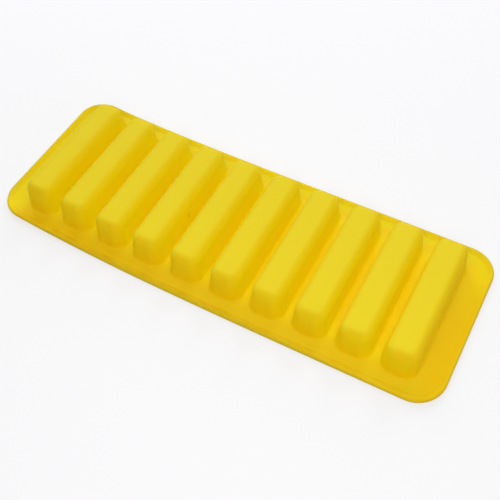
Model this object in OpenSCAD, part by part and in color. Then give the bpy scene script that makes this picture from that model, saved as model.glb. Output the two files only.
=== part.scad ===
// Chocolate stick mould: one flexible tray, lying with its cavities face down.
// The origin is the middle of the tray, on the plane that it lies on. X runs along the tray
// and across the row of bars, Y runs along each bar, and Z is up. The cavities open at Z = 0.

/* [Stick cavities] */
// Number of cavities in the row
cavity_count = 10; // [1:1:12]
// Length of a cavity at its mouth
cavity_l = 73; // [40:0.5:110]
// Width of a cavity at its mouth
cavity_w = 16.4; // [13:0.1:24]
// Depth of a cavity
cavity_depth = 16.7; // [8:0.1:20]
// Lean of the cavity walls from upright, so that a stick slips out
draft_angle = 5; // [2:0.5:7]
// Corner radius of a cavity's mouth, seen from above
mouth_corner_r = 5.4; // [5:0.1:6]
// Radius between the walls and the floor of a cavity
cavity_floor_r = 3.4; // [1:0.1:3.6]
// Radius of the lip where a cavity meets the filling side
mouth_lip_r = 0.5; // [0.2:0.1:1]

/* [Walls] */
// Thickness of the wall round each cavity
wall_t = 1.3; // [0.8:0.1:2]
// Thickness of the flange that joins the bars
flange_t = 1.2; // [1:0.1:2.5]
// Radius at the foot of each bar, where it rises from the flange
foot_r = 1.2; // [0.5:0.1:2.5]

/* [Tray] */
// Flat strip of flange between the feet of two neighbouring bars
bar_gap = 2.1; // [1:0.1:8]
// Flange from the foot of the last bar to the end of the tray
end_margin = 13; // [6:0.1:25]
// Flange from the foot of a bar to the long side of the tray
side_margin = 8; // [6:0.1:20]
// Corner radius of the tray, seen from above
tray_corner_r = 15; // [8:0.5:30]

/* [Rim] */
// Height of the rim bead above the flange
rim_rise = 1; // [0.8:0.1:2]
// Width of the rim bead at its top
rim_w = 2.2; // [1.6:0.1:3]
// Radius of the bead's two top edges
rim_edge_r = 0.4; // [0.2:0.05:0.6]
// Radius at the bead's inner foot, where it rises from the flange
rim_foot_r = 0.6; // [0.3:0.1:1.2]

/* [Hidden] */
$fn = 96;
// How far a cutter runs past the face that it opens
cut_through = 1;

// A bar is the outside of the wall round a cavity: its sizes at Z = 0, before its foot
wall_run = wall_t / cos(draft_angle);
bar_l = cavity_l + 2 * wall_run;
bar_w = cavity_w + 2 * wall_run;
bar_h = cavity_depth + wall_t;
bar_corner_r = mouth_corner_r + wall_run;
bar_shoulder_r = cavity_floor_r + wall_t;

// A foot spreads from where the bar's wall would meet the top of the flange
foot_run = foot_r * tan((90 - draft_angle) / 2) - flange_t * tan(draft_angle);
bar_pitch = bar_w + 2 * foot_run + bar_gap;
tray_l = bar_pitch * (cavity_count - 1) + bar_w + 2 * (foot_run + end_margin);
tray_w = bar_l + 2 * (foot_run + side_margin);
rim_h = flange_t + rim_rise;
// The bead's inner side is only as high as its two radii allow
bead_foot_r = min(rim_foot_r, rim_rise - rim_edge_r);

// Runs a profile round an upright rounded rectangle of size_x by size_y and fills its middle from
// low to high. The profile's X counts outwards from the axis of the corners, so it ends at
// corner_r, and its Y is the height.
module sweep_round(size_x, size_y, corner_r, low, high) {
    reach_x = size_x / 2 - corner_r;
    reach_y = size_y / 2 - corner_r;
    for (side = [0:3]) {
        across = side % 2 == 0 ? reach_x : reach_y;
        along = side % 2 == 0 ? reach_y : reach_x;
        rotate([0, 0, 90 * side]) translate([across, 0, 0]) rotate([90, 0, 0])
            linear_extrude(2 * along, center = true) {
                children();
                if (side % 2 == 0)
                    translate([-reach_x, low]) square([reach_x, high - low]);
            }
        rotate([0, 0, 90 * side]) translate([across, along, 0])
            rotate_extrude(angle = 90) children();
    }
}

// Half section of a leaning wall: base_r wide at height 0, with its top edge rounded
module leaning_profile(base_r, top, edge_r) {
    centre_y = top - edge_r;
    centre_x = base_r - centre_y * tan(draft_angle) - edge_r / cos(draft_angle);
    polygon([
        [0, 0],
        [base_r, 0],
        [centre_x + edge_r * cos(draft_angle), centre_y + edge_r * sin(draft_angle)],
        [centre_x, top],
        [0, top],
    ]);
    translate([centre_x, centre_y])
        intersection() {
            circle(edge_r);
            square(edge_r);
        }
}

// Half section of the hollow flare where the leaning wall comes down on a floor
module flare_profile(base_r, floor, flare_r) {
    centre_y = floor + flare_r;
    centre_x = base_r - centre_y * tan(draft_angle) + flare_r / cos(draft_angle);
    difference() {
        polygon([
            [0, 0],
            [centre_x, 0],
            [centre_x, floor],
            [centre_x - flare_r * cos(draft_angle), centre_y - flare_r * sin(draft_angle)],
            [0, centre_y - flare_r * sin(draft_angle)],
        ]);
        translate([centre_x, centre_y])
            circle(flare_r);
    }
}

// Outside of one bar, from the underside of the flange to its top
module bar_solid() {
    sweep_round(bar_w, bar_l, bar_corner_r, 0, bar_h) {
        leaning_profile(bar_corner_r, bar_h, bar_shoulder_r);
        flare_profile(bar_corner_r, flange_t, foot_r);
    }
}

// Inside of one bar: the stick's own shape, its lip, and a run out through the filling side
module cavity_solid() {
    lip_reach = mouth_corner_r + mouth_lip_r * tan((90 - draft_angle) / 2);
    sweep_round(cavity_w, cavity_l, mouth_corner_r, -cut_through, cavity_depth) {
        leaning_profile(mouth_corner_r, cavity_depth, cavity_floor_r);
        flare_profile(mouth_corner_r, 0, mouth_lip_r);
        translate([0, -cut_through])
            square([lip_reach, cut_through]);
    }
}

// Section of the tray's edge: the flange and the rim bead that stands on it
module rim_profile() {
    bead_inner = tray_corner_r - rim_w;
    square([tray_corner_r, flange_t]);
    translate([bead_inner, 0])
        square([rim_w, rim_h - rim_edge_r]);
    translate([bead_inner + rim_edge_r, 0])
        square([rim_w - 2 * rim_edge_r, rim_h]);
    for (edge = [rim_edge_r, rim_w - rim_edge_r]) {
        translate([bead_inner + edge, rim_h - rim_edge_r])
            circle(rim_edge_r);
    }
    translate([bead_inner - bead_foot_r, 0])
        difference() {
            square([bead_foot_r, flange_t + bead_foot_r]);
            translate([0, flange_t + bead_foot_r])
                circle(bead_foot_r);
        }
}

// The thin plate with its raised rim
module flange_solid() {
    sweep_round(tray_l, tray_w, tray_corner_r, 0, flange_t) rim_profile();
}

// Puts its children at each place in the row
module each_bar() {
    for (index = [0:cavity_count - 1]) {
        translate([bar_pitch * (index - (cavity_count - 1) / 2), 0, 0])
            children();
    }
}

module mould_tray() {
    color([0.93, 0.82, 0.1])
        difference() {
            union() {
                flange_solid();
                each_bar() bar_solid();
            }
            each_bar() cavity_solid();
        }
}

mould_tray();
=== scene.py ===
"""Looks of a one-piece silicone mould for chocolate sticks.

The tray lies face down, as it is photographed: a thin flange with a raised rim, and a row of
hollow bars that stand up from it. One smooth skin stands for the tray's solid. Every length is in
metres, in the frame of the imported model.
"""

from __future__ import annotations

import logging
import math
from collections.abc import Callable, Sequence
from dataclasses import dataclass
from enum import Enum

import bmesh
import bpy
import numpy as np
from mathutils import Matrix, Vector, geometry

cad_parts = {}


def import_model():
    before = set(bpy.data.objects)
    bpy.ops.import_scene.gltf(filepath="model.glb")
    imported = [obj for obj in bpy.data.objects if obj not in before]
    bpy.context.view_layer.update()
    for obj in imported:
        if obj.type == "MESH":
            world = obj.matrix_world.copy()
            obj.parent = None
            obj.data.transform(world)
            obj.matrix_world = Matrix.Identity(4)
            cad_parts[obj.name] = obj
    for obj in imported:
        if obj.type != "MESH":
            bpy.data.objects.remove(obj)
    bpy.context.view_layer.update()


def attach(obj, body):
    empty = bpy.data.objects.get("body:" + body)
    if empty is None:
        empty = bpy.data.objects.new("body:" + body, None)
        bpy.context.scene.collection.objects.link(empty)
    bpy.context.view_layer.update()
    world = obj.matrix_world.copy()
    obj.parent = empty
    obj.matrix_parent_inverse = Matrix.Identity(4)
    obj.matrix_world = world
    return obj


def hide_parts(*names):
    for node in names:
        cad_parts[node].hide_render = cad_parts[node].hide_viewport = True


LOG = logging.getLogger("stick_mould")
MM = 0.001
TRAY_NODE = "mould_tray"
ROOT_BODY = "root"
WELD_GAP = 0.004 * MM

Ring = np.ndarray
Colour = tuple[float, float, float]
Place = tuple[float, float, float]
Section = list[tuple[float, float]]

WARM: Colour = (1.0, 0.94, 0.87)


class PaintedLight(Enum):
    """The zones of painted light and shade in the silicone's colour, by the names of the attributes that
    hold them.
    """

    # The attributes crown, nook and edge hold a painted highlight, painted bounce light and painted shade.
    CROWN = "crown"
    NOOK = "nook"
    EDGE = "edge"


class Lamp(Enum):
    """The studio's lamps."""

    BACK = "back_lamp"
    WINDOW = "window_lamp"
    FRONT = "front_lamp"
    SIDE = "side_lamp"


def maths(operation: str, swapped: bool = False) -> Callable[[Value, object], Value]:
    """Makes a method that adds a Math node.

    Args:
        operation: The Math node's operation.
        swapped: Whether the other number comes before self.

    Returns:
        The method, which takes a number or a Value and returns the node's result.
    """

    def method(self: Value, other: object) -> Value:
        """Returns the operation's result."""
        pair = (other, self) if swapped else (self, other)
        return self.maker.value("ShaderNodeMath", dict(enumerate(pair)), operation=operation)

    return method


class Value:
    """A number on a node socket, so that node maths reads as plain expressions."""

    def __init__(self, maker: TreeMaker, socket: bpy.types.NodeSocket) -> None:
        """Wraps an output socket of the maker's tree."""
        self.maker = maker
        self.socket = socket

    __add__ = maths("ADD")
    __radd__ = maths("ADD", swapped=True)
    __sub__ = maths("SUBTRACT")
    __rsub__ = maths("SUBTRACT", swapped=True)
    __mul__ = maths("MULTIPLY")
    __rmul__ = maths("MULTIPLY", swapped=True)
    __truediv__ = maths("DIVIDE")
    __pow__ = maths("POWER")
    at_least = maths("MAXIMUM")
    at_most = maths("MINIMUM")

    def clipped(self) -> Value:
        """Returns self, kept between 0 and 1."""
        return self.at_least(0.0).at_most(1.0)

    def size(self) -> Value:
        """Returns self without its sign."""
        return self.at_least(self * -1.0)


class TreeMaker:
    """Adds nodes to one shader or geometry tree and links them."""

    def __init__(self, tree: bpy.types.NodeTree) -> None:
        """Starts on the tree to build."""
        self.tree = tree

    @classmethod
    def of(cls, owner: bpy.types.Material | bpy.types.World) -> TreeMaker:
        """Returns a maker for the emptied tree of a material or a world."""
        owner.use_nodes = True
        owner.node_tree.nodes.clear()
        return cls(owner.node_tree)

    def node(self, kind: str, inputs: dict | None = None, **settings: object) -> bpy.types.Node:
        """Adds one node.

        Args:
            kind: The node's type.
            inputs: Socket name or index to a plain value, a socket or a Value.
            **settings: Attributes of the node, set before its sockets are filled.

        Returns:
            The node.
        """
        made = self.tree.nodes.new(kind)
        for name, setting in settings.items():
            setattr(made, name, setting)
        for key, item in (inputs or {}).items():
            self.feed(made.inputs[key], item)
        return made

    def feed(self, socket: bpy.types.NodeSocket, item: object) -> None:
        """Links or sets an input socket.

        Args:
            socket: The input socket.
            item: A Value, a socket, or a plain value for the socket itself; a colour has no alpha.
        """
        source = item.socket if isinstance(item, Value) else item
        if isinstance(source, bpy.types.NodeSocket):
            self.tree.links.new(source, socket)
        else:
            socket.default_value = (*source, 1.0) if socket.type == "RGBA" else source

    def value(
        self, kind: str, inputs: dict | None = None, output: str | int = 0, **settings: object
    ) -> Value:
        """Adds a node and wraps one of its outputs.

        Args:
            kind: The node's type.
            inputs: What its input sockets get.
            output: Name or index of the output to wrap.
            **settings: Attributes of the node.

        Returns:
            The wrapped output.
        """
        return Value(self, self.node(kind, inputs, **settings).outputs[output])

    def split(self, vector: object) -> tuple[Value, Value, Value]:
        """Returns the X, Y and Z of a vector."""
        parts = self.node("ShaderNodeSeparateXYZ", {0: vector}).outputs
        return Value(self, parts[0]), Value(self, parts[1]), Value(self, parts[2])

    def join(self, x: object, y: object, z: object) -> Value:
        """Returns a vector made of three numbers."""
        return self.value("ShaderNodeCombineXYZ", {0: x, 1: y, 2: z})

    def blend(self, factor: object, first: object, second: object) -> Value:
        """Returns a mix of two colours: the first where the factor is 0, the second where it is 1."""
        return self.value("ShaderNodeMix", {0: factor, 6: first, 7: second}, 2, data_type="RGBA")

    def distance(self, first: object, second: object) -> Value:
        """Returns the distance between two places."""
        return self.value("ShaderNodeVectorMath", {0: first, 1: second}, "Value", operation="DISTANCE")

    def by_ray(self, light: bpy.types.Node, seen: bpy.types.Node) -> Value:
        """Mixes two shaders, so that one lights the object and the other is seen.

        Args:
            light: The shader for the rays that light other surfaces.
            seen: The shader for camera, glossy and transmission rays.

        Returns:
            The mixed shader.
        """
        path = self.node("ShaderNodeLightPath").outputs
        camera, glossy, through = (
            Value(self, path[f"Is {kind} Ray"]) for kind in ("Camera", "Glossy", "Transmission")
        )
        share = camera.at_least(glossy).at_least(through)
        return self.value("ShaderNodeMixShader", {0: share, 1: light.outputs[0], 2: seen.outputs[0]})


def add_object(name: str, data: bpy.types.ID) -> bpy.types.Object:
    """Returns a new object of the data, linked to the scene."""
    made = bpy.data.objects.new(name, data)
    bpy.context.scene.collection.objects.link(made)
    return made


@dataclass(frozen=True)
class TraySizes:
    """Sizes of the tray. They are its solid's own, but for the rim.

    The rim is rounder and its inner side slopes further, as in the photograph.
    """

    cavity_count: int = 10
    cavity_l: float = 73 * MM
    cavity_w: float = 16.4 * MM
    cavity_depth: float = 16.7 * MM
    draft: float = math.radians(5)
    mouth_corner_r: float = 5.4 * MM
    cavity_floor_r: float = 3.4 * MM
    mouth_lip_r: float = 0.5 * MM
    wall_t: float = 1.3 * MM
    flange_t: float = 1.2 * MM
    foot_r: float = 1.2 * MM
    bar_gap: float = 2.1 * MM
    end_margin: float = 13 * MM
    side_margin: float = 8 * MM
    tray_corner_r: float = 15 * MM
    rim_rise: float = 1 * MM
    rim_outer_r: float = 1.3 * MM
    rim_inner_r: float = 1.0 * MM
    rim_inner_slope: float = 23.0
    rim_foot_r: float = 1.2 * MM

    @property
    def wall_run(self) -> float:
        """Horizontal thickness of a leaning wall."""
        return self.wall_t / math.cos(self.draft)

    @property
    def bar_l(self) -> float:
        """Length of a bar at height 0."""
        return self.cavity_l + 2 * self.wall_run

    @property
    def bar_w(self) -> float:
        """Width of a bar at height 0."""
        return self.cavity_w + 2 * self.wall_run

    @property
    def bar_h(self) -> float:
        """Height of a bar's top."""
        return self.cavity_depth + self.wall_t

    @property
    def bar_corner_r(self) -> float:
        """Corner radius of a bar at height 0."""
        return self.mouth_corner_r + self.wall_run

    @property
    def foot_run(self) -> float:
        """How far a bar's foot spreads past its size at height 0."""
        spread = self.foot_r * math.tan((math.pi / 2 - self.draft) / 2)
        return spread - self.flange_t * math.tan(self.draft)

    @property
    def bar_pitch(self) -> float:
        """Distance from one bar to the next."""
        return self.bar_w + 2 * self.foot_run + self.bar_gap

    @property
    def tray_l(self) -> float:
        """Length of the tray."""
        row = self.bar_pitch * (self.cavity_count - 1)
        return row + self.bar_w + 2 * (self.foot_run + self.end_margin)

    @property
    def tray_w(self) -> float:
        """Width of the tray."""
        return self.bar_l + 2 * (self.foot_run + self.side_margin)

    @property
    def rim_h(self) -> float:
        """Height of the rim's top."""
        return self.flange_t + self.rim_rise

    def bar_places(self) -> list[float]:
        """Returns the X of each bar's middle."""
        middle = (self.cavity_count - 1) / 2
        return [self.bar_pitch * (index - middle) for index in range(self.cavity_count)]


@dataclass(frozen=True)
class RoundedLoop:
    """A rounded rectangle that keeps its corner axes while it is drawn in."""

    size_x: float
    size_y: float
    corner_r: float
    corner_steps: int
    side_step: float

    def ring(self, reach: float, height: float) -> Ring:
        """Draws the loop anticlockwise, seen from above.

        Args:
            reach: Distance from the axis of each corner.
            height: The ring's height.

        Returns:
            Its points, one row each.
        """
        axis_x = self.size_x / 2 - self.corner_r
        axis_y = self.size_y / 2 - self.corner_r
        along_x = max(2, round(2 * axis_x / self.side_step))
        along_y = max(2, round(2 * axis_y / self.side_step))
        signs = ((1, 1), (-1, 1), (-1, -1), (1, -1))

        def corner(quarter: int, step: int) -> tuple[float, float]:
            """Returns one point of a corner."""
            sign_x, sign_y = signs[quarter % 4]
            angle = (quarter + step / self.corner_steps) * math.pi / 2
            return sign_x * axis_x + reach * math.cos(angle), sign_y * axis_y + reach * math.sin(angle)

        points: list[tuple[float, float]] = []
        for quarter in range(4):
            points += [corner(quarter, step) for step in range(self.corner_steps + 1)]
            start_x, start_y = points[-1]
            end_x, end_y = corner(quarter + 1, 0)
            steps = along_x if quarter % 2 == 0 else along_y
            for step in range(1, steps):
                share = step / steps
                points.append((start_x + (end_x - start_x) * share, start_y + (end_y - start_y) * share))
        flat = np.array(points)
        return np.column_stack([flat, np.full(len(flat), height)])


@dataclass(frozen=True)
class WallProfile:
    """Half section of a leaning wall, from the floor that it rises from to its flat top."""

    base_r: float
    draft: float
    floor: float
    flare_r: float
    top: float
    edge_r: float
    flare_steps: int = 5
    wall_steps: int = 5
    edge_steps: int = 9

    def points(self) -> Section:
        """Walks up the section.

        Returns:
            Reach from the corner's axis and height, from the foot to the edge of the top.
        """
        lean, cos = math.tan(self.draft), math.cos(self.draft)
        flare_y = self.floor + self.flare_r
        flare_x = self.base_r - flare_y * lean + self.flare_r / cos
        edge_y = self.top - self.edge_r
        edge_x = self.base_r - edge_y * lean - self.edge_r / cos
        walked = []
        for step in range(self.flare_steps + 1):
            angle = -math.pi / 2 - (math.pi / 2 - self.draft) * step / self.flare_steps
            x = flare_x + self.flare_r * math.cos(angle)
            walked.append((x, flare_y + self.flare_r * math.sin(angle)))
        low = walked[-1]
        rise = (
            edge_x + self.edge_r * math.cos(self.draft),
            edge_y + self.edge_r * math.sin(self.draft),
        )
        for step in range(1, self.wall_steps):
            share = step / self.wall_steps
            walked.append((low[0] + (rise[0] - low[0]) * share, low[1] + (rise[1] - low[1]) * share))
        for step in range(self.edge_steps + 1):
            angle = self.draft + (math.pi / 2 - self.draft) * step / self.edge_steps
            x = edge_x + self.edge_r * math.cos(angle)
            walked.append((x, edge_y + self.edge_r * math.sin(angle)))
        return walked


def goes_round(loop: Ring, places: np.ndarray) -> np.ndarray:
    """Tells which places a loop goes round, seen from above.

    Args:
        loop: The loop's points.
        places: X and Y of each place.

    Returns:
        True for each place inside.
    """
    x = loop[None, :, 0] - places[:, None, 0]
    y = loop[None, :, 1] - places[:, None, 1]
    next_x, next_y = np.roll(x, -1, 1), np.roll(y, -1, 1)
    crosses = (y > 0) != (next_y > 0)
    rise = np.where(crosses, next_y - y, 1.0)
    reach = x - y * (next_x - x) / rise
    return np.count_nonzero(crosses & (reach > 0), axis=1) % 2 == 1


def distance_to(loop: Ring, places: np.ndarray) -> np.ndarray:
    """Returns the distance from each place to the nearest point of a loop."""
    apart = loop[None, :, :2] - places[:, None, :]
    return np.hypot(apart[..., 0], apart[..., 1]).min(axis=1)


class SkinMesh:
    """Gathers the points and faces of a thin skin."""

    def __init__(self) -> None:
        """Starts empty."""
        self.points: list[np.ndarray] = []
        self.faces: list[tuple[int, ...]] = []

    def add_points(self, points: np.ndarray) -> int:
        """Adds points.

        Args:
            points: One row for each point.

        Returns:
            The index of the first.
        """
        first = sum(len(added) for added in self.points)
        self.points.append(points)
        return first

    def add_band(self, rings: Sequence[Ring], flip: bool = False) -> None:
        """Joins rings of equal length into a band.

        Args:
            rings: The rings, in order.
            flip: Whether the faces point the other way.
        """
        starts = [self.add_points(ring) for ring in rings]
        size = len(rings[0])
        for low, high in zip(starts, starts[1:]):
            for index in range(size):
                after = (index + 1) % size
                face = (low + index, low + after, high + after, high + index)
                self.faces.append(face[::-1] if flip else face)

    def add_level(
        self, outer: Ring, holes: Sequence[Ring], spacing: float, flip: bool = False
    ) -> None:
        """Fills a level area with even triangles.

        Args:
            outer: The loop round the area.
            holes: Loops that the area leaves open.
            spacing: Distance between the points laid inside.
            flip: Whether the faces point down.
        """
        loops = [outer, *holes]
        low, high = outer[:, :2].min(axis=0), outer[:, :2].max(axis=0)
        steps = np.maximum(1, np.round((high - low) / spacing).astype(int))
        grid = np.meshgrid(
            np.linspace(low[0], high[0], steps[0] + 1), np.linspace(low[1], high[1], steps[1] + 1)
        )
        laid = np.column_stack([grid[0].ravel(), grid[1].ravel()])
        keep = goes_round(outer, laid)
        for loop in loops:
            keep &= distance_to(loop, laid) > 0.6 * spacing
        for hole in holes:
            keep &= ~goes_round(hole, laid)
        coords = [Vector(point[:2]) for loop in loops for point in loop]
        coords += [Vector(place) for place in laid[keep]]
        edges = []
        first = 0
        for loop in loops:
            size = len(loop)
            edges += [(first + index, first + (index + 1) % size) for index in range(size)]
            first += size
        flat, _edges, triangles, *_rest = geometry.delaunay_2d_cdt(coords, edges, [], 0, 1e-9)
        places = np.array([tuple(point) for point in flat])
        corners = np.array([tuple(triangle) for triangle in triangles])
        centres = places[corners].mean(axis=1)
        inside = goes_round(outer, centres)
        for hole in holes:
            inside &= ~goes_round(hole, centres)
        start = self.add_points(np.column_stack([places, np.full(len(places), float(outer[0, 2]))]))
        for triangle in corners[inside]:
            face = tuple(int(start + index) for index in triangle)
            self.faces.append(face[::-1] if flip else face)

    def to_object(self, name: str) -> bpy.types.Object:
        """Makes a mesh object.

        Args:
            name: The object's name.

        Returns:
            The object, linked to the scene, with its loose points gone.
        """
        mesh = bpy.data.meshes.new(name)
        mesh.from_pydata(np.vstack(self.points).tolist(), [], self.faces)
        work = bmesh.new()
        work.from_mesh(mesh)
        loose = [vert for vert in work.verts if not vert.link_faces]
        bmesh.ops.delete(work, geom=loose, context="VERTS")
        work.to_mesh(mesh)
        work.free()
        return add_object(name, mesh)


@dataclass(frozen=True)
class BarShell:
    """One hollow bar: the wall round a cavity, closed at its top and open below."""

    sizes: TraySizes
    corner_steps: int = 12
    side_step: float = 2.4 * MM
    cap_step: float = 1.8 * MM

    def outside(self) -> list[Ring]:
        """Returns the rings of the bar's outside, from the top of the flange up."""
        sizes = self.sizes
        profile = WallProfile(
            base_r=sizes.bar_corner_r,
            draft=sizes.draft,
            floor=sizes.flange_t,
            flare_r=sizes.foot_r,
            top=sizes.bar_h,
            edge_r=sizes.cavity_floor_r + sizes.wall_t,
        )
        return self._rings(sizes.bar_w, sizes.bar_l, profile)

    def cavity(self) -> list[Ring]:
        """Returns the rings of the cavity, from its lip at the filling side up."""
        sizes = self.sizes
        profile = WallProfile(
            base_r=sizes.mouth_corner_r,
            draft=sizes.draft,
            floor=0.0,
            flare_r=sizes.mouth_lip_r,
            top=sizes.cavity_depth,
            edge_r=sizes.cavity_floor_r,
            flare_steps=4,
        )
        return self._rings(sizes.cavity_w, sizes.cavity_l, profile)

    def _rings(self, width: float, length: float, profile: WallProfile) -> list[Ring]:
        """Returns the rings of a wall with that section, round a rounded rectangle."""
        loop = RoundedLoop(width, length, profile.base_r, self.corner_steps, self.side_step)
        return [loop.ring(*point) for point in profile.points()]

    def build(self) -> bpy.types.Object:
        """Makes the shell's mesh round the origin.

        Returns:
            The object that the row repeats.
        """
        skin = SkinMesh()
        for rings, flip in ((self.outside(), False), (self.cavity(), True)):
            skin.add_band(rings, flip)
            skin.add_level(rings[-1], [], self.cap_step, flip)
        return skin.to_object("bar_shell")


@dataclass(frozen=True)
class RimmedFlange:
    """The thin plate that joins the bars, with the bead round its edge."""

    sizes: TraySizes
    bar: BarShell
    corner_steps: int = 20
    side_step: float = 2.4 * MM
    sheet_step: float = 2.6 * MM
    under_edge_r: float = 0.8 * MM
    arc_steps: int = 5

    def _arc(self, centre: tuple[float, float], radius: float, start: float, end: float) -> Section:
        """Returns an arc of the section between two angles in degrees."""
        angles = np.radians(np.linspace(start, end, self.arc_steps + 1))
        return [(centre[0] + radius * math.cos(a), centre[1] + radius * math.sin(a)) for a in angles]

    def edge_points(self) -> Section:
        """Walks round the tray's edge, from the filling side over the bead to the flange's top.

        Returns:
            Reach from the corner's axis and height.
        """
        sizes = self.sizes
        outer, under = sizes.tray_corner_r, self.under_edge_r
        crest = outer - sizes.rim_outer_r
        round_in, foot, slope = sizes.rim_inner_r, sizes.rim_foot_r, sizes.rim_inner_slope
        walked = self._arc((outer - under, under), under, -90, 0)
        walked += self._arc((crest, sizes.rim_h - sizes.rim_outer_r), sizes.rim_outer_r, 0, 90)
        walked += self._arc((crest, sizes.rim_h - round_in), round_in, 90, 90 + slope)[1:]
        steep = math.radians(slope)
        drop = sizes.rim_rise - (round_in + foot) * (1 - math.cos(steep))
        foot_x = walked[-1][0] - drop / math.tan(steep) - foot * math.sin(steep)
        walked += self._arc((foot_x, sizes.flange_t + foot), foot, slope - 90, -90)
        return walked

    def _at_each_bar(self, ring: Ring) -> list[Ring]:
        """Returns the ring moved to each bar's place."""
        return [ring + np.array([place, 0.0, 0.0]) for place in self.sizes.bar_places()]

    def build(self) -> bpy.types.Object:
        """Makes the flange's mesh.

        Returns:
            The object, open where each bar and each cavity goes.
        """
        sizes = self.sizes
        plan = (sizes.tray_l, sizes.tray_w, sizes.tray_corner_r)
        loop = RoundedLoop(*plan, self.corner_steps, self.side_step)
        skin = SkinMesh()
        rings = [loop.ring(*point) for point in self.edge_points()]
        skin.add_band(rings)
        skin.add_level(rings[-1], self._at_each_bar(self.bar.outside()[0]), self.sheet_step)
        skin.add_level(rings[0], self._at_each_bar(self.bar.cavity()[0]), self.sheet_step, True)
        return skin.to_object("rimmed_flange")


@dataclass(frozen=True)
class Ramp:
    """A rise from 0 to 1 over a stretch of a number's range."""

    start: float
    run: float

    def of(self, number: Value) -> Value:
        """Returns 0 where the number is up to the start, and 1 where it is past the run."""
        return ((number - self.start) / self.run).clipped()


class TrayFields:
    """What the tray's tree knows of each point: its place, its normal and the tree's inputs."""

    def __init__(self, maker: TreeMaker, given: object, sizes: TraySizes) -> None:
        """Adds the nodes that tell the place and the normal.

        Args:
            maker: The maker of the tray's tree.
            given: The tree's inputs, as the outputs of its input node.
            sizes: The tray's sizes.
        """
        self.maker = maker
        self.given = given
        self.sizes = sizes
        self.spot = maker.value("GeometryNodeInputPosition")
        self.x, self.y, self.z = maker.split(self.spot)
        self.normal = maker.split(maker.value("GeometryNodeInputNormal"))
        self.along = self.x / self.read("Half Length")
        self.across = self.y / self.read("Half Width")
        self.stand = (self.z / self.read("Height")).at_most(1.0)

    def read(self, name: str) -> Value:
        """Returns the tree's input of that name."""
        return Value(self.maker, self.given[name])


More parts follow.
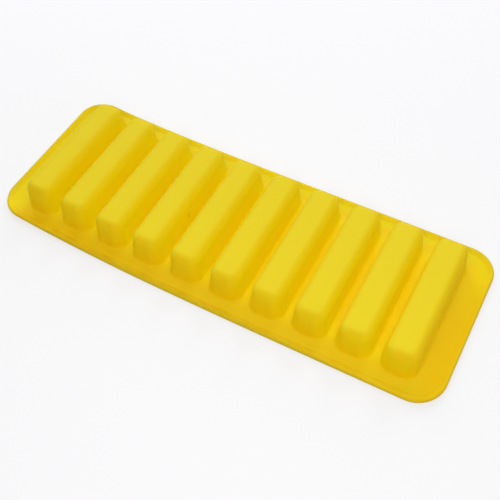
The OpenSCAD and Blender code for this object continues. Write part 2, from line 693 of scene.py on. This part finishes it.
@dataclass(frozen=True)
class SoftShape:
    """How the soft tray departs from its mould.

    The free flange curls up off the table at its two ends, and along the left part of its front
    side. The row is bent and swayed in its own plane, and the ends turn a little with it. The long
    sides bow out, the walls lean in more than the mould's, the skin is slightly uneven, and the near
    end of one bar is dented. Shares of the length and the width go from -1 to 1.
    """

    left_lift: float = 1.9 * MM
    right_lift: float = 0.9 * MM
    lift_power: float = 12.0
    twist: float = 0.4
    front_curl: float = 1.4 * MM
    curl_part: Ramp = Ramp(0.3, 0.7)
    side_bow: float = 0.35 * MM
    bend: float = 2.0 * MM
    bend_crossing: float = 0.5
    sway: float = 1.5 * MM
    sway_crossing: float = 0.667
    end_turn: float = 0.35
    end_lean: float = 0.85 * MM
    near_part: Ramp = Ramp(0.5, 0.3)
    side_lean: float = 0.525 * MM
    unevenness: float = 0.12 * MM
    unevenness_scale: float = 26.0
    seed: float = 3.0
    dent_place: Place = (82.5 * MM, -36.4 * MM, 15.0 * MM)
    dent_r: float = 5.0 * MM
    dent_power: float = 1.5
    dent_push: Place = (0.0, 0.30 * MM, -0.15 * MM)

    def offset(self, fields: TrayFields) -> Value:
        """Works out how far each point moves from the mould's own shape.

        Args:
            fields: What the tree knows of each point.

        Returns:
            The offset.
        """
        wave_x, wave_y, wave_z = self._waves(fields)
        turn, curve = self._bend(fields)
        lean_x, lean_y = self._lean(fields)
        dent_x, dent_y, dent_z = self._dent(fields)
        return fields.maker.join(
            wave_x + turn + lean_x + dent_x,
            wave_y + self._bow(fields) + curve + lean_y + dent_y,
            wave_z + self._lift(fields) + dent_z,
        )

    def _lift(self, fields: TrayFields) -> Value:
        """Curls the free flange up at both ends and along the front.

        Args:
            fields: What the tree knows of each point.

        Returns:
            How far each point rises.
        """
        along, across = fields.along, fields.across
        left = (along * -1.0).at_least(0.0) ** self.lift_power * fields.read("Left Lift")
        right = along.at_least(0.0) ** self.lift_power * fields.read("Right Lift")
        ends = left * (1.0 + self.twist * across) + right * (1.0 - self.twist * across)
        strip_start = 1.0 - 2 * fields.sizes.side_margin / fields.sizes.tray_w
        strip = Ramp(strip_start, 1.0 - strip_start).of(across * -1.0)
        return ends + strip * self.curl_part.of(along * -1.0) * fields.read("Front Curl")

    def _bow(self, fields: TrayFields) -> Value:
        """Returns how far the long sides bow out along Y, most at the middle of their length."""
        along, across = fields.along, fields.across
        return across * across * across * (1.0 - along * along) * fields.read("Side Bow")

    def _bend(self, fields: TrayFields) -> tuple[Value, Value]:
        """Bends the row to one side and sways it, both in its own plane.

        Args:
            fields: What the tree knows of each point.

        Returns:
            The move along X that turns each bar with the curve, and the curve's own along Y.
        """
        along, across = fields.along, fields.across
        bend, sway = fields.read("Bend"), fields.read("Sway")
        square = along * along
        curve = bend * (square - self.bend_crossing) + sway * along * (self.sway_crossing - square)
        slope = bend * along * 2.0 + sway * (self.sway_crossing - 3.0 * square)
        proportion = fields.sizes.tray_w / fields.sizes.tray_l
        return slope * across * (-self.end_turn * proportion), curve

    def _lean(self, fields: TrayFields) -> tuple[Value, Value]:
        """Leans the long walls and the near ends of the bars in, more towards their tops.

        Args:
            fields: What the tree knows of each point.

        Returns:
            The move along X, towards each bar's middle, and the near ends' move along Y.
        """
        half_pitch = fields.read("Pitch") * 0.5
        row_start = half_pitch * (fields.read("Count") - 1.0)
        bounds = {0: fields.x + row_start, 1: half_pitch, 2: half_pitch * -1.0}
        beside = fields.maker.value("ShaderNodeMath", bounds, operation="WRAP") / half_pitch
        lean = fields.stand * fields.stand
        lean_x = lean * beside * fields.read("Side Lean") * -1.0
        lean_y = lean * self.near_part.of(fields.across * -1.0) * fields.read("End Lean")
        return lean_x, lean_y

    def _dent(self, fields: TrayFields) -> list[Value]:
        """Returns the X, Y and Z of the dent's push."""
        away = fields.maker.distance(fields.spot, self.dent_place)
        depth = (1.0 - away / self.dent_r).at_least(0.0) ** self.dent_power
        return [depth * push for push in self.dent_push]

    def _waves(self, fields: TrayFields) -> list[Value]:
        """Makes the skin slightly uneven, more towards the tops of the bars.

        Args:
            fields: What the tree knows of each point.

        Returns:
            The X, Y and Z of the unevenness.
        """
        inputs = {
            "Vector": fields.spot,
            "W": fields.read("Seed"),
            "Scale": self.unevenness_scale,
            "Detail": 1.0,
        }
        waves = fields.maker.value("ShaderNodeTexNoise", inputs, "Color", noise_dimensions="4D")
        push = fields.stand * fields.read("Unevenness")
        return [(part - 0.5) * push for part in fields.maker.split(waves)]


@dataclass(frozen=True)
class PaintedLightZones:
    """Where the silicone's colour carries painted light and shade, as shares from 0 to 1 that the tray's
    tree stores.

    Strips and fades are ramps over the tray's length or width, which both go from -1 to 1. Outside
    and above are ramps over the Z of the normal.
    """

    end_strip: Ramp = Ramp(0.88, 0.06)
    front_strip: Ramp = Ramp(0.8, 0.08)
    front_fade: Ramp = Ramp(0.0, 0.6)
    back_strip: Ramp = Ramp(0.78, 0.08)
    back_stop: Ramp = Ramp(-0.96, 0.08)
    right_fade: Ramp = Ramp(0.0, 0.8)
    right_share: float = 0.6
    open_share: float = 0.92
    open_power: float = 3.0
    low_crown: float = 0.5
    painted_shadow_drop: float = 0.4
    window_facing_share: float = 0.5
    crown_power: float = 2.5
    crown_power_rise: float = 4.0
    nook_drop: float = 0.9
    nook_drop_power: float = 4.0
    outside: Ramp = Ramp(-0.06, 0.05)
    edge_band: float = 2.0 * MM
    above: Ramp = Ramp(-0.95, 0.35)
    crest_drop: float = 0.5

    def shares(self, fields: TrayFields) -> dict[PaintedLight, Value]:
        """Returns the share of each painted light and shade at each point."""
        return {
            PaintedLight.CROWN: self._crown(fields),
            PaintedLight.NOOK: self._nook(fields),
            PaintedLight.EDGE: self._edge(fields),
        }

    def _crown(self, fields: TrayFields) -> Value:
        """Finds where the painted highlight and its painted shadow go: the crowns of the bars and the
        faces turned to the window lamp.

        Args:
            fields: What the tree knows of each point.

        Returns:
            1 on the level top of a bar and on its left shoulder, less on the flange and least on its right
            end and the left of its front strip, where the lower share paints the bars' shadow, and about 0
            on the walls.
        """
        facing, _y, level = fields.normal
        # Painted highlight: the share grows on faces that look up and on faces turned left, towards the
        # window lamp.
        level = level.at_least(0.0) + self.window_facing_share * (facing * -1.0).at_least(0.0)
        along, across, stand = fields.along, fields.across, fields.stand
        front = self.front_strip.of(across * -1.0) * self.front_fade.of(along * -1.0)
        # Painted shadow: the share drops on the right end strip and the left of the front strip, which lie
        # in the bars' shade.
        low = self.low_crown - self.painted_shadow_drop * self.end_strip.of(along).at_least(front)
        power = self.crown_power + self.crown_power_rise * stand
        return level.at_most(1.0) ** power * (low + (1.0 - low) * stand * stand)

    def _nook(self, fields: TrayFields) -> Value:
        """Finds where painted bounce light stands for the light that passes between yellow walls, and the
        open strips where the same painted light stands for the lamps' light.

        Args:
            fields: What the tree knows of each point.

        Returns:
            1 deep in the row, a little less on the back strip and at the left end, fading in towards
            the back of the right end, less near the crowns, and 0 on the filling side.
        """
        sizes, level = fields.sizes, fields.normal[2]
        along, across = fields.along, fields.across
        row_half = (sizes.cavity_count - 1) * sizes.bar_pitch / 2 + sizes.bar_w / 2
        # Painted bounce light deep in the row, between the bars.
        from_side = ((row_half - fields.x.size()) / sizes.bar_w).clipped()
        from_end = ((sizes.bar_l / 2 - fields.y.size()) / sizes.bar_corner_r).clipped()
        # Painted light of the lamps on the open back strip and the two ends.
        back = self.back_strip.of(across) * self.back_stop.of(along * -1.0)
        left = self.end_strip.of(along * -1.0)
        right = self.end_strip.of(along) * self.right_fade.of(across) * self.right_share
        strips = back.at_least(left).at_least(right)
        lit_open_strips = strips * level.at_least(0.0) ** self.open_power * self.open_share
        fade = 1.0 - self.nook_drop * fields.stand ** self.nook_drop_power
        return (from_side * from_end).at_least(lit_open_strips) * fade * self.outside.of(level)

    def _edge(self, fields: TrayFields) -> Value:
        """Finds the rim's outer face, where the colour paints shade.

        Args:
            fields: What the tree knows of each point.

        Returns:
            1 on the rim's upright outer face, less on its crest, and 0 inside it and underneath.
        """
        corner_r, level = fields.sizes.tray_corner_r, fields.normal[2]
        past_x = fields.x.size() - (fields.read("Half Length") - corner_r)
        past_y = fields.y.size() - (fields.read("Half Width") - corner_r)
        corner = (past_x.at_least(0.0) ** 2.0 + past_y.at_least(0.0) ** 2.0) ** 0.5
        reach = corner + past_x.at_least(past_y).at_most(0.0)
        rim = (1.0 + (reach - corner_r) / self.edge_band).clipped()
        # Painted shade on the rim's outer face, which the table lights little.
        return rim * self.above.of(level) * (1.0 - self.crest_drop * level.at_least(0.0))


@dataclass(frozen=True)
class SiliconeFinish:
    """Matt yellow silicone, a little cloudy, with a fine grain and one faint speck.

    Its colour also carries painted light and shade, by the zones: a painted highlight, paler on the crowns
    and on the faces turned to the window lamp; painted bounce light, warmer and brighter in the nooks,
    where light passes from wall to wall; and painted shade, darker on the thin outer face of the rim.
    """

    colour: Colour = (0.98, 0.67, 0.0008)
    cloudy_colour: Colour = (0.97, 0.65, 0.0006)
    # Painted light and shade: the painted highlight, painted bounce light and painted edge shade colours.
    painted_highlight_colour: Colour = (0.98, 0.775, 0.022)
    painted_bounce_colour: Colour = (0.975, 0.86, 0.0008)
    painted_edge_shade_colour: Colour = (0.62, 0.51, 0.014)
    cloud_scale: float = 38.0
    patch_scale: float = 152.0
    cloud_share: float = 0.65
    patch_share: float = 0.35
    roughness: float = 0.6
    patch_roughness: float = 0.07
    grain_roughness: float = 0.04
    grain_scale: float = 1900.0
    grain_height: float = 0.012 * MM
    speck_colour: Colour = (0.88, 0.735, 0.0008)
    speck_place: Place = (-26.0 * MM, -6.6 * MM, 9.3 * MM)
    speck_r: float = 2.2 * MM
    speck_gain: float = 1.6
    refraction: float = 1.41
    sheen_level: float = 0.16
    scatter_weight: float = 0.6
    scatter_radius: Colour = (0.7, 0.5, 0.08)
    scatter_reach: float = 1.2 * MM

    def make(self) -> bpy.types.Material:
        """Builds the material.

        Returns:
            The material.
        """
        material = bpy.data.materials.new("moulded_silicone")
        maker = TreeMaker.of(material)
        place = maker.node("ShaderNodeTexCoord").outputs["Object"]
        cloud = self._noise(maker, place, self.cloud_scale, 3.0)
        patch = self._noise(maker, place, self.patch_scale, 2.0)
        grain = self._noise(maker, place, self.grain_scale, 2.0)
        depth = (self.cloud_share * cloud + self.patch_share * patch).at_least(0.0)
        tone = maker.blend(depth, self.colour, self.cloudy_colour)
        # Painted light and shade: painted bounce light in the nooks, a painted highlight on the crowns and
        # painted shade on the rim's outer face, each blended in by its zone's share.
        colours = (self.painted_bounce_colour, self.painted_highlight_colour, self.painted_edge_shade_colour)
        for zone, colour in zip((PaintedLight.NOOK, PaintedLight.CROWN, PaintedLight.EDGE), colours):
            share = maker.value("ShaderNodeAttribute", None, "Fac", attribute_name=zone.value)
            tone = maker.blend(share, tone, colour)
        away = maker.distance(place, self.speck_place)
        speck = ((1.0 - away / self.speck_r).at_least(0.0) * self.speck_gain).at_most(1.0)
        tone = maker.blend(speck, tone, self.speck_colour)
        uneven = self.patch_roughness * (patch - 0.5) + self.grain_roughness * (grain - 0.5)
        relief = {"Strength": 1.0, "Distance": self.grain_height, "Height": grain}
        looks = {
            "Base Color": tone,
            "Roughness": self.roughness + uneven,
            "Normal": maker.value("ShaderNodeBump", relief, "Normal"),
            "IOR": self.refraction,
            "Specular IOR Level": self.sheen_level,
            "Subsurface Weight": self.scatter_weight,
            "Subsurface Radius": self.scatter_radius,
            "Subsurface Scale": self.scatter_reach,
        }
        skin = maker.value("ShaderNodeBsdfPrincipled", looks, subsurface_method="RANDOM_WALK")
        maker.node("ShaderNodeOutputMaterial", {"Surface": skin})
        return material

    def _noise(self, maker: TreeMaker, place: object, scale: float, detail: float) -> Value:
        """Returns soft noise about 0.5, with that many waves to a metre and finer layers."""
        inputs = {"Vector": place, "Scale": scale, "Detail": detail, "Roughness": 0.5}
        return maker.value("ShaderNodeTexNoise", inputs, "Fac", noise_dimensions="3D")


@dataclass(frozen=True)
class StickTray:
    """The whole tray: its flange, its row of bars, and the tree that joins them into one skin."""

    sizes: TraySizes = TraySizes()
    shape: SoftShape = SoftShape()
    zones: PaintedLightZones = PaintedLightZones()
    finish: SiliconeFinish = SiliconeFinish()

    def build(self) -> bpy.types.Object:
        """Makes the tray as one mesh object.

        Returns:
            The dressed object.
        """
        bar = BarShell(self.sizes)
        shell = bar.build()
        plate = RimmedFlange(self.sizes, bar).build()
        inputs = self._inputs(shell, plate)
        carrier = add_object("tray_carrier", bpy.data.meshes.new("tray_carrier"))
        modifier = carrier.modifiers.new("row_of_bars", "NODES")
        modifier.node_group = self._tree(inputs)
        for socket in modifier.node_group.interface.items_tree:
            if socket.name in inputs:
                modifier[socket.identifier] = inputs[socket.name][1]
        graph = bpy.context.evaluated_depsgraph_get()
        graph.update()
        mesh = bpy.data.meshes.new_from_object(carrier.evaluated_get(graph), depsgraph=graph)
        carrier.modifiers.remove(modifier)
        for spare in (carrier, shell, plate):
            bpy.data.objects.remove(spare)
        mesh.name = "silicone_tray"
        silicone = next(material for material in mesh.materials if material)
        mesh.materials.clear()
        mesh.materials.append(silicone)
        return add_object("silicone_tray", mesh)

    def _inputs(
        self, shell: bpy.types.Object, plate: bpy.types.Object
    ) -> dict[str, tuple[str, object]]:
        """Lists the tree's named inputs.

        Args:
            shell: One bar's shell.
            plate: The rimmed flange.

        Returns:
            Each input's name, the kind of its socket and what it gets.
        """
        sizes, shape = self.sizes, self.shape
        numbers = {
            "Pitch": sizes.bar_pitch,
            "Half Length": sizes.tray_l / 2,
            "Half Width": sizes.tray_w / 2,
            "Height": sizes.bar_h,
            "Left Lift": shape.left_lift,
            "Right Lift": shape.right_lift,
            "Front Curl": shape.front_curl,
            "Side Bow": shape.side_bow,
            "Bend": shape.bend,
            "Sway": shape.sway,
            "End Lean": shape.end_lean,
            "Side Lean": shape.side_lean,
            "Unevenness": shape.unevenness,
            "Seed": shape.seed,
        }
        return {
            "Bar": ("Object", shell),
            "Flange": ("Object", plate),
            "Count": ("Int", sizes.cavity_count),
            **{name: ("Float", number) for name, number in numbers.items()},
            "Silicone": ("Material", self.finish.make()),
        }

    def _tree(self, inputs: dict[str, tuple[str, object]]) -> bpy.types.NodeTree:
        """Builds the tree that repeats the bar, joins it to the flange and softens the shape.

        Args:
            inputs: The tree's inputs, by name, each with the kind of its socket.

        Returns:
            The geometry tree.
        """
        tree = bpy.data.node_groups.new("row_of_bars", "GeometryNodeTree")
        for name, (kind, _given) in inputs.items():
            tree.interface.new_socket(name, in_out="INPUT", socket_type=f"NodeSocket{kind}")
        tree.interface.new_socket("Tray", in_out="OUTPUT", socket_type="NodeSocketGeometry")
        maker = TreeMaker(tree)
        given = maker.node("NodeGroupInput").outputs
        fields = TrayFields(maker, given, self.sizes)
        plate = maker.node("GeometryNodeObjectInfo", {"Object": given["Flange"]})
        joined = maker.node("GeometryNodeJoinGeometry")
        tree.links.new(self._row(fields).socket, joined.inputs[0])
        tree.links.new(plate.outputs["Geometry"], joined.inputs[0])
        skin = maker.value("GeometryNodeMergeByDistance", {0: joined.outputs[0], "Distance": WELD_GAP})
        moved = {"Geometry": skin, "Offset": self.shape.offset(fields)}
        skin = maker.value("GeometryNodeSetPosition", moved)
        skin = maker.value("GeometryNodeSetShadeSmooth", {0: skin})
        # Stores the shares of painted light and shade that the material reads.
        for zone, share in self.zones.shares(fields).items():
            skin = maker.value(
                "GeometryNodeStoreNamedAttribute",
                {"Geometry": skin, "Name": zone.value, "Value": share},
                data_type="FLOAT",
                domain="POINT",
            )
        skin = maker.value("GeometryNodeRealizeInstances", {0: skin})
        dressed = {"Geometry": skin, "Material": given["Silicone"]}
        maker.node("NodeGroupOutput", {"Tray": maker.value("GeometryNodeSetMaterial", dressed)})
        return tree

    def _row(self, fields: TrayFields) -> Value:
        """Sets the bars out along X.

        Args:
            fields: What the tree knows, of which this takes the inputs.

        Returns:
            The row's mesh.
        """
        maker = fields.maker
        pitch, count = fields.read("Pitch"), fields.read("Count")
        start = maker.join(pitch * (count - 1.0) * -0.5, 0.0, 0.0)
        spread = {"Count": count, "Start Location": start, "Offset": maker.join(pitch, 0.0, 0.0)}
        line = maker.value("GeometryNodeMeshLine", spread, mode="OFFSET")
        bar = maker.value("GeometryNodeObjectInfo", {"Object": fields.read("Bar")}, "Geometry")
        placed = maker.value("GeometryNodeInstanceOnPoints", {"Points": line, "Instance": bar})
        return maker.value("GeometryNodeRealizeInstances", {0: placed})


def looking_at(
    aim: Place, azimuth: float, elevation: float, distance: float, roll: float = 0.0
) -> Matrix:
    """Stands something off from a point, so that it faces it.

    Args:
        aim: The point that it faces.
        azimuth: Degrees round from the front, towards the right end.
        elevation: Degrees up from the table.
        distance: How far away it stands.
        roll: Degrees that it is turned about the line to the point.

    Returns:
        Its place and turn.
    """
    turn, rise = math.radians(azimuth), math.radians(elevation)
    back = Vector((math.sin(turn) * math.cos(rise), -math.cos(turn) * math.cos(rise), math.sin(rise)))
    facing = (-back).to_track_quat("-Z", "Y").to_matrix()
    facing = facing @ Matrix.Rotation(math.radians(roll), 3, "Z")
    return Matrix.Translation(Vector(aim) + back * distance) @ facing.to_4x4()


@dataclass(frozen=True)
class Viewpoint:
    """Where the photograph was taken from."""

    aim: Place = (10.03 * MM, -5.81 * MM, 0.0)
    azimuth: float = 32.21
    elevation: float = 55.56
    distance: float = 387.3 * MM
    roll: float = -3.97
    lens: float = 53.19
    sensor_w: float = 36.0
    nearest: float = 0.01
    farthest: float = 50.0

    def build(self) -> bpy.types.Object:
        """Makes the camera and gives it to the scene.

        Returns:
            The camera.
        """
        data = bpy.data.cameras.new("camera")
        data.lens = self.lens
        data.sensor_width = self.sensor_w
        data.clip_start = self.nearest
        data.clip_end = self.farthest
        camera = add_object("camera", data)
        stand = (self.azimuth, self.elevation, self.distance, self.roll)
        camera.matrix_world = looking_at(self.aim, *stand)
        bpy.context.scene.camera = camera
        return camera


@dataclass(frozen=True)
class SoftLamp:
    """One soft rectangular lamp that faces the tray."""

    kind: Lamp
    azimuth: float
    elevation: float
    power: float
    distance: float = 1.5
    size: tuple[float, float] = (0.7, 0.7)
    colour: Colour = (1.0, 1.0, 1.0)
    aim_x: float = 0.0

    def build(self) -> bpy.types.Object:
        """Makes the lamp.

        Returns:
            The lamp's object.
        """
        data = bpy.data.lights.new(self.kind.value, "AREA")
        data.shape = "RECTANGLE"
        data.size, data.size_y = self.size
        data.energy = self.power
        data.color = self.colour
        lamp = add_object(self.kind.value, data)
        aim = (self.aim_x, 0.0, 0.0)
        lamp.matrix_world = looking_at(aim, self.azimuth, self.elevation, self.distance)
        lamp.visible_camera = False
        return lamp


@dataclass(frozen=True)
class PaleFloor:
    """The white table.

    It sends light back to the tray as a plain pale grey. It is seen as an even white that keeps the
    tray's soft shadow and that, as in the photograph, rises a little away from the camera.
    """

    half_size: float = 3.0
    drop: float = 0.02 * MM
    seen_white: float = 0.585
    seen_rise: float = 0.24
    seen_reach: float = 0.3
    seen_turn: float = math.radians(32)
    seen_shade: Colour = (0.43, 0.449, 0.495)
    bounce: Colour = (0.78, 0.78, 0.78)

    def build(self) -> bpy.types.Object:
        """Makes the floor.

        Returns:
            The floor's object.
        """
        mesh = bpy.data.meshes.new("pale_floor")
        reach = self.half_size
        corners = [(-reach, -reach), (reach, -reach), (reach, reach), (-reach, reach)]
        mesh.from_pydata([(x, y, -self.drop) for x, y in corners], [], [(0, 1, 2, 3)])
        mesh.materials.append(self._material())
        floor = add_object("pale_floor", mesh)
        return floor

    def _material(self) -> bpy.types.Material:
        """Builds the floor's material.

        Returns:
            The material.
        """
        material = bpy.data.materials.new("pale_floor")
        maker = TreeMaker.of(material)
        plain = maker.node("ShaderNodeBsdfDiffuse", {"Color": self.bounce})
        soft = maker.node("ShaderNodeBsdfDiffuse", {"Color": self.seen_shade})
        x, y, _z = maker.split(maker.node("ShaderNodeTexCoord").outputs["Object"])
        beyond = y * math.cos(self.seen_turn) - x * math.sin(self.seen_turn)
        swing = self.seen_rise * self.seen_reach
        dim, bright = self.seen_white - swing, self.seen_white + swing
        share = beyond / (2.0 * self.seen_reach) + 0.5
        white = maker.blend(share, (dim, dim, dim), (bright, bright, bright))
        glow = maker.node("ShaderNodeEmission", {"Color": white, "Strength": 1.0})
        both = maker.node("ShaderNodeAddShader", {0: soft.outputs[0], 1: glow.outputs[0]})
        maker.node("ShaderNodeOutputMaterial", {"Surface": maker.by_ray(plain, both)})
        return material


@dataclass(frozen=True)
class WhiteSurround:
    """The room round the table: it lights the tray softly and slightly warm, and is seen white."""

    colour: Colour = (1.0, 0.93, 0.86)
    strength: float = 0.365
    seen_colour: Colour = (1.0, 1.0, 1.0)
    seen_strength: float = 0.955

    def build(self) -> bpy.types.World:
        """Makes the world and gives it to the scene.

        Returns:
            The world.
        """
        world = bpy.data.worlds.new("white_surround")
        bpy.context.scene.world = world
        maker = TreeMaker.of(world)
        looks = (
            {"Color": self.colour, "Strength": self.strength},
            {"Color": self.seen_colour, "Strength": self.seen_strength},
        )
        light, white = (maker.node("ShaderNodeBackground", look) for look in looks)
        maker.node("ShaderNodeOutputWorld", {"Surface": maker.by_ray(light, white)})
        return world


@dataclass(frozen=True)
class Studio:
    """Plain soft light, a pale floor and a white surround.

    The light passes many times between the bright yellow walls of a groove, so the bounces that
    Cycles follows are raised.
    """

    floor: PaleFloor = PaleFloor()
    surround: WhiteSurround = WhiteSurround()
    light_bounces: int = 16
    lamps: tuple[SoftLamp, ...] = (
        SoftLamp(Lamp.BACK, azimuth=180.0, elevation=28.0, power=5.25),
        SoftLamp(Lamp.WINDOW, azimuth=225.0, elevation=37.0, power=4.6),
        SoftLamp(
            Lamp.FRONT,
            azimuth=12.0,
            elevation=56.0,
            power=0.65,
            distance=0.43,
            size=(0.28, 0.28),
            colour=WARM,
            aim_x=50 * MM,
        ),
        SoftLamp(
            Lamp.SIDE, azimuth=80.0, elevation=24.0, power=0.18, distance=0.5, size=(0.4, 0.2), colour=WARM
        ),
    )

    def build(self) -> None:
        """Makes the floor, the lamps and the surround."""
        self.floor.build()
        for lamp in self.lamps:
            lamp.build()
            LOG.info("lamp %s: %.2f W", lamp.kind.value, lamp.power)
        self.surround.build()
        scene = bpy.context.scene
        scene.view_settings.view_transform = "Standard"
        scene.cycles.diffuse_bounces = self.light_bounces
        scene.cycles.max_bounces = max(scene.cycles.max_bounces, self.light_bounces)


def main() -> None:
    """Builds the tray, the studio and the camera, in that order."""
    logging.basicConfig(level=logging.INFO, format="%(name)s: %(message)s")
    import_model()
    tray = StickTray().build()
    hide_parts(TRAY_NODE)
    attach(tray, ROOT_BODY)
    LOG.info("tray: %d points, %d faces", len(tray.data.vertices), len(tray.data.polygons))
    Studio().build()
    Viewpoint().build()
    LOG.info("camera and studio stand")


if __name__ == "__main__":
    main()
